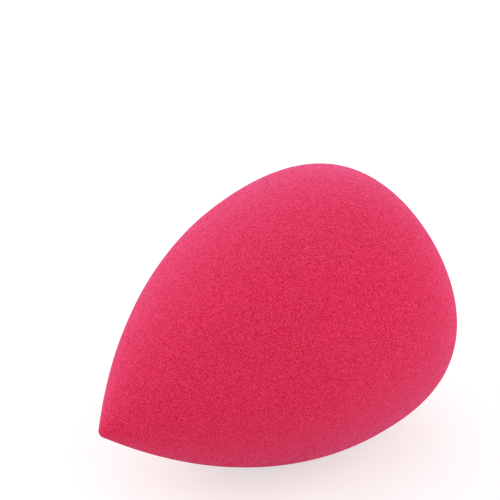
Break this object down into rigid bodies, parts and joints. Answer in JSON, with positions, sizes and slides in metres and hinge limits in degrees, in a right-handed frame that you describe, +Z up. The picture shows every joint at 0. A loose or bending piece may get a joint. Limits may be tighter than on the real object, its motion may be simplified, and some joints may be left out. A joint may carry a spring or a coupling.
{
  "type": "makeup sponge",
  "caption": "Drop-shaped soft foam sponge for blending make-up, with a pointed tip and a blunt round end, lying on its side.",
  "frame": {"origin": "on the surface that the sponge lies on, under the middle of its length and width", "axes": "+X from the pointed tip to the blunt end, with the sponge's own axis tilted 12 degrees up from it, +Z up from the surface, and +Y across, so that the sponge is the same on both sides of the XZ plane"},
  "size_m": [0.0598, 0.044, 0.0443],
  "materials": {
    "foam": "matte"
  },
  "bodies": {
    "root": {"foam_body": "foam"}
  },
  "joints": []
}
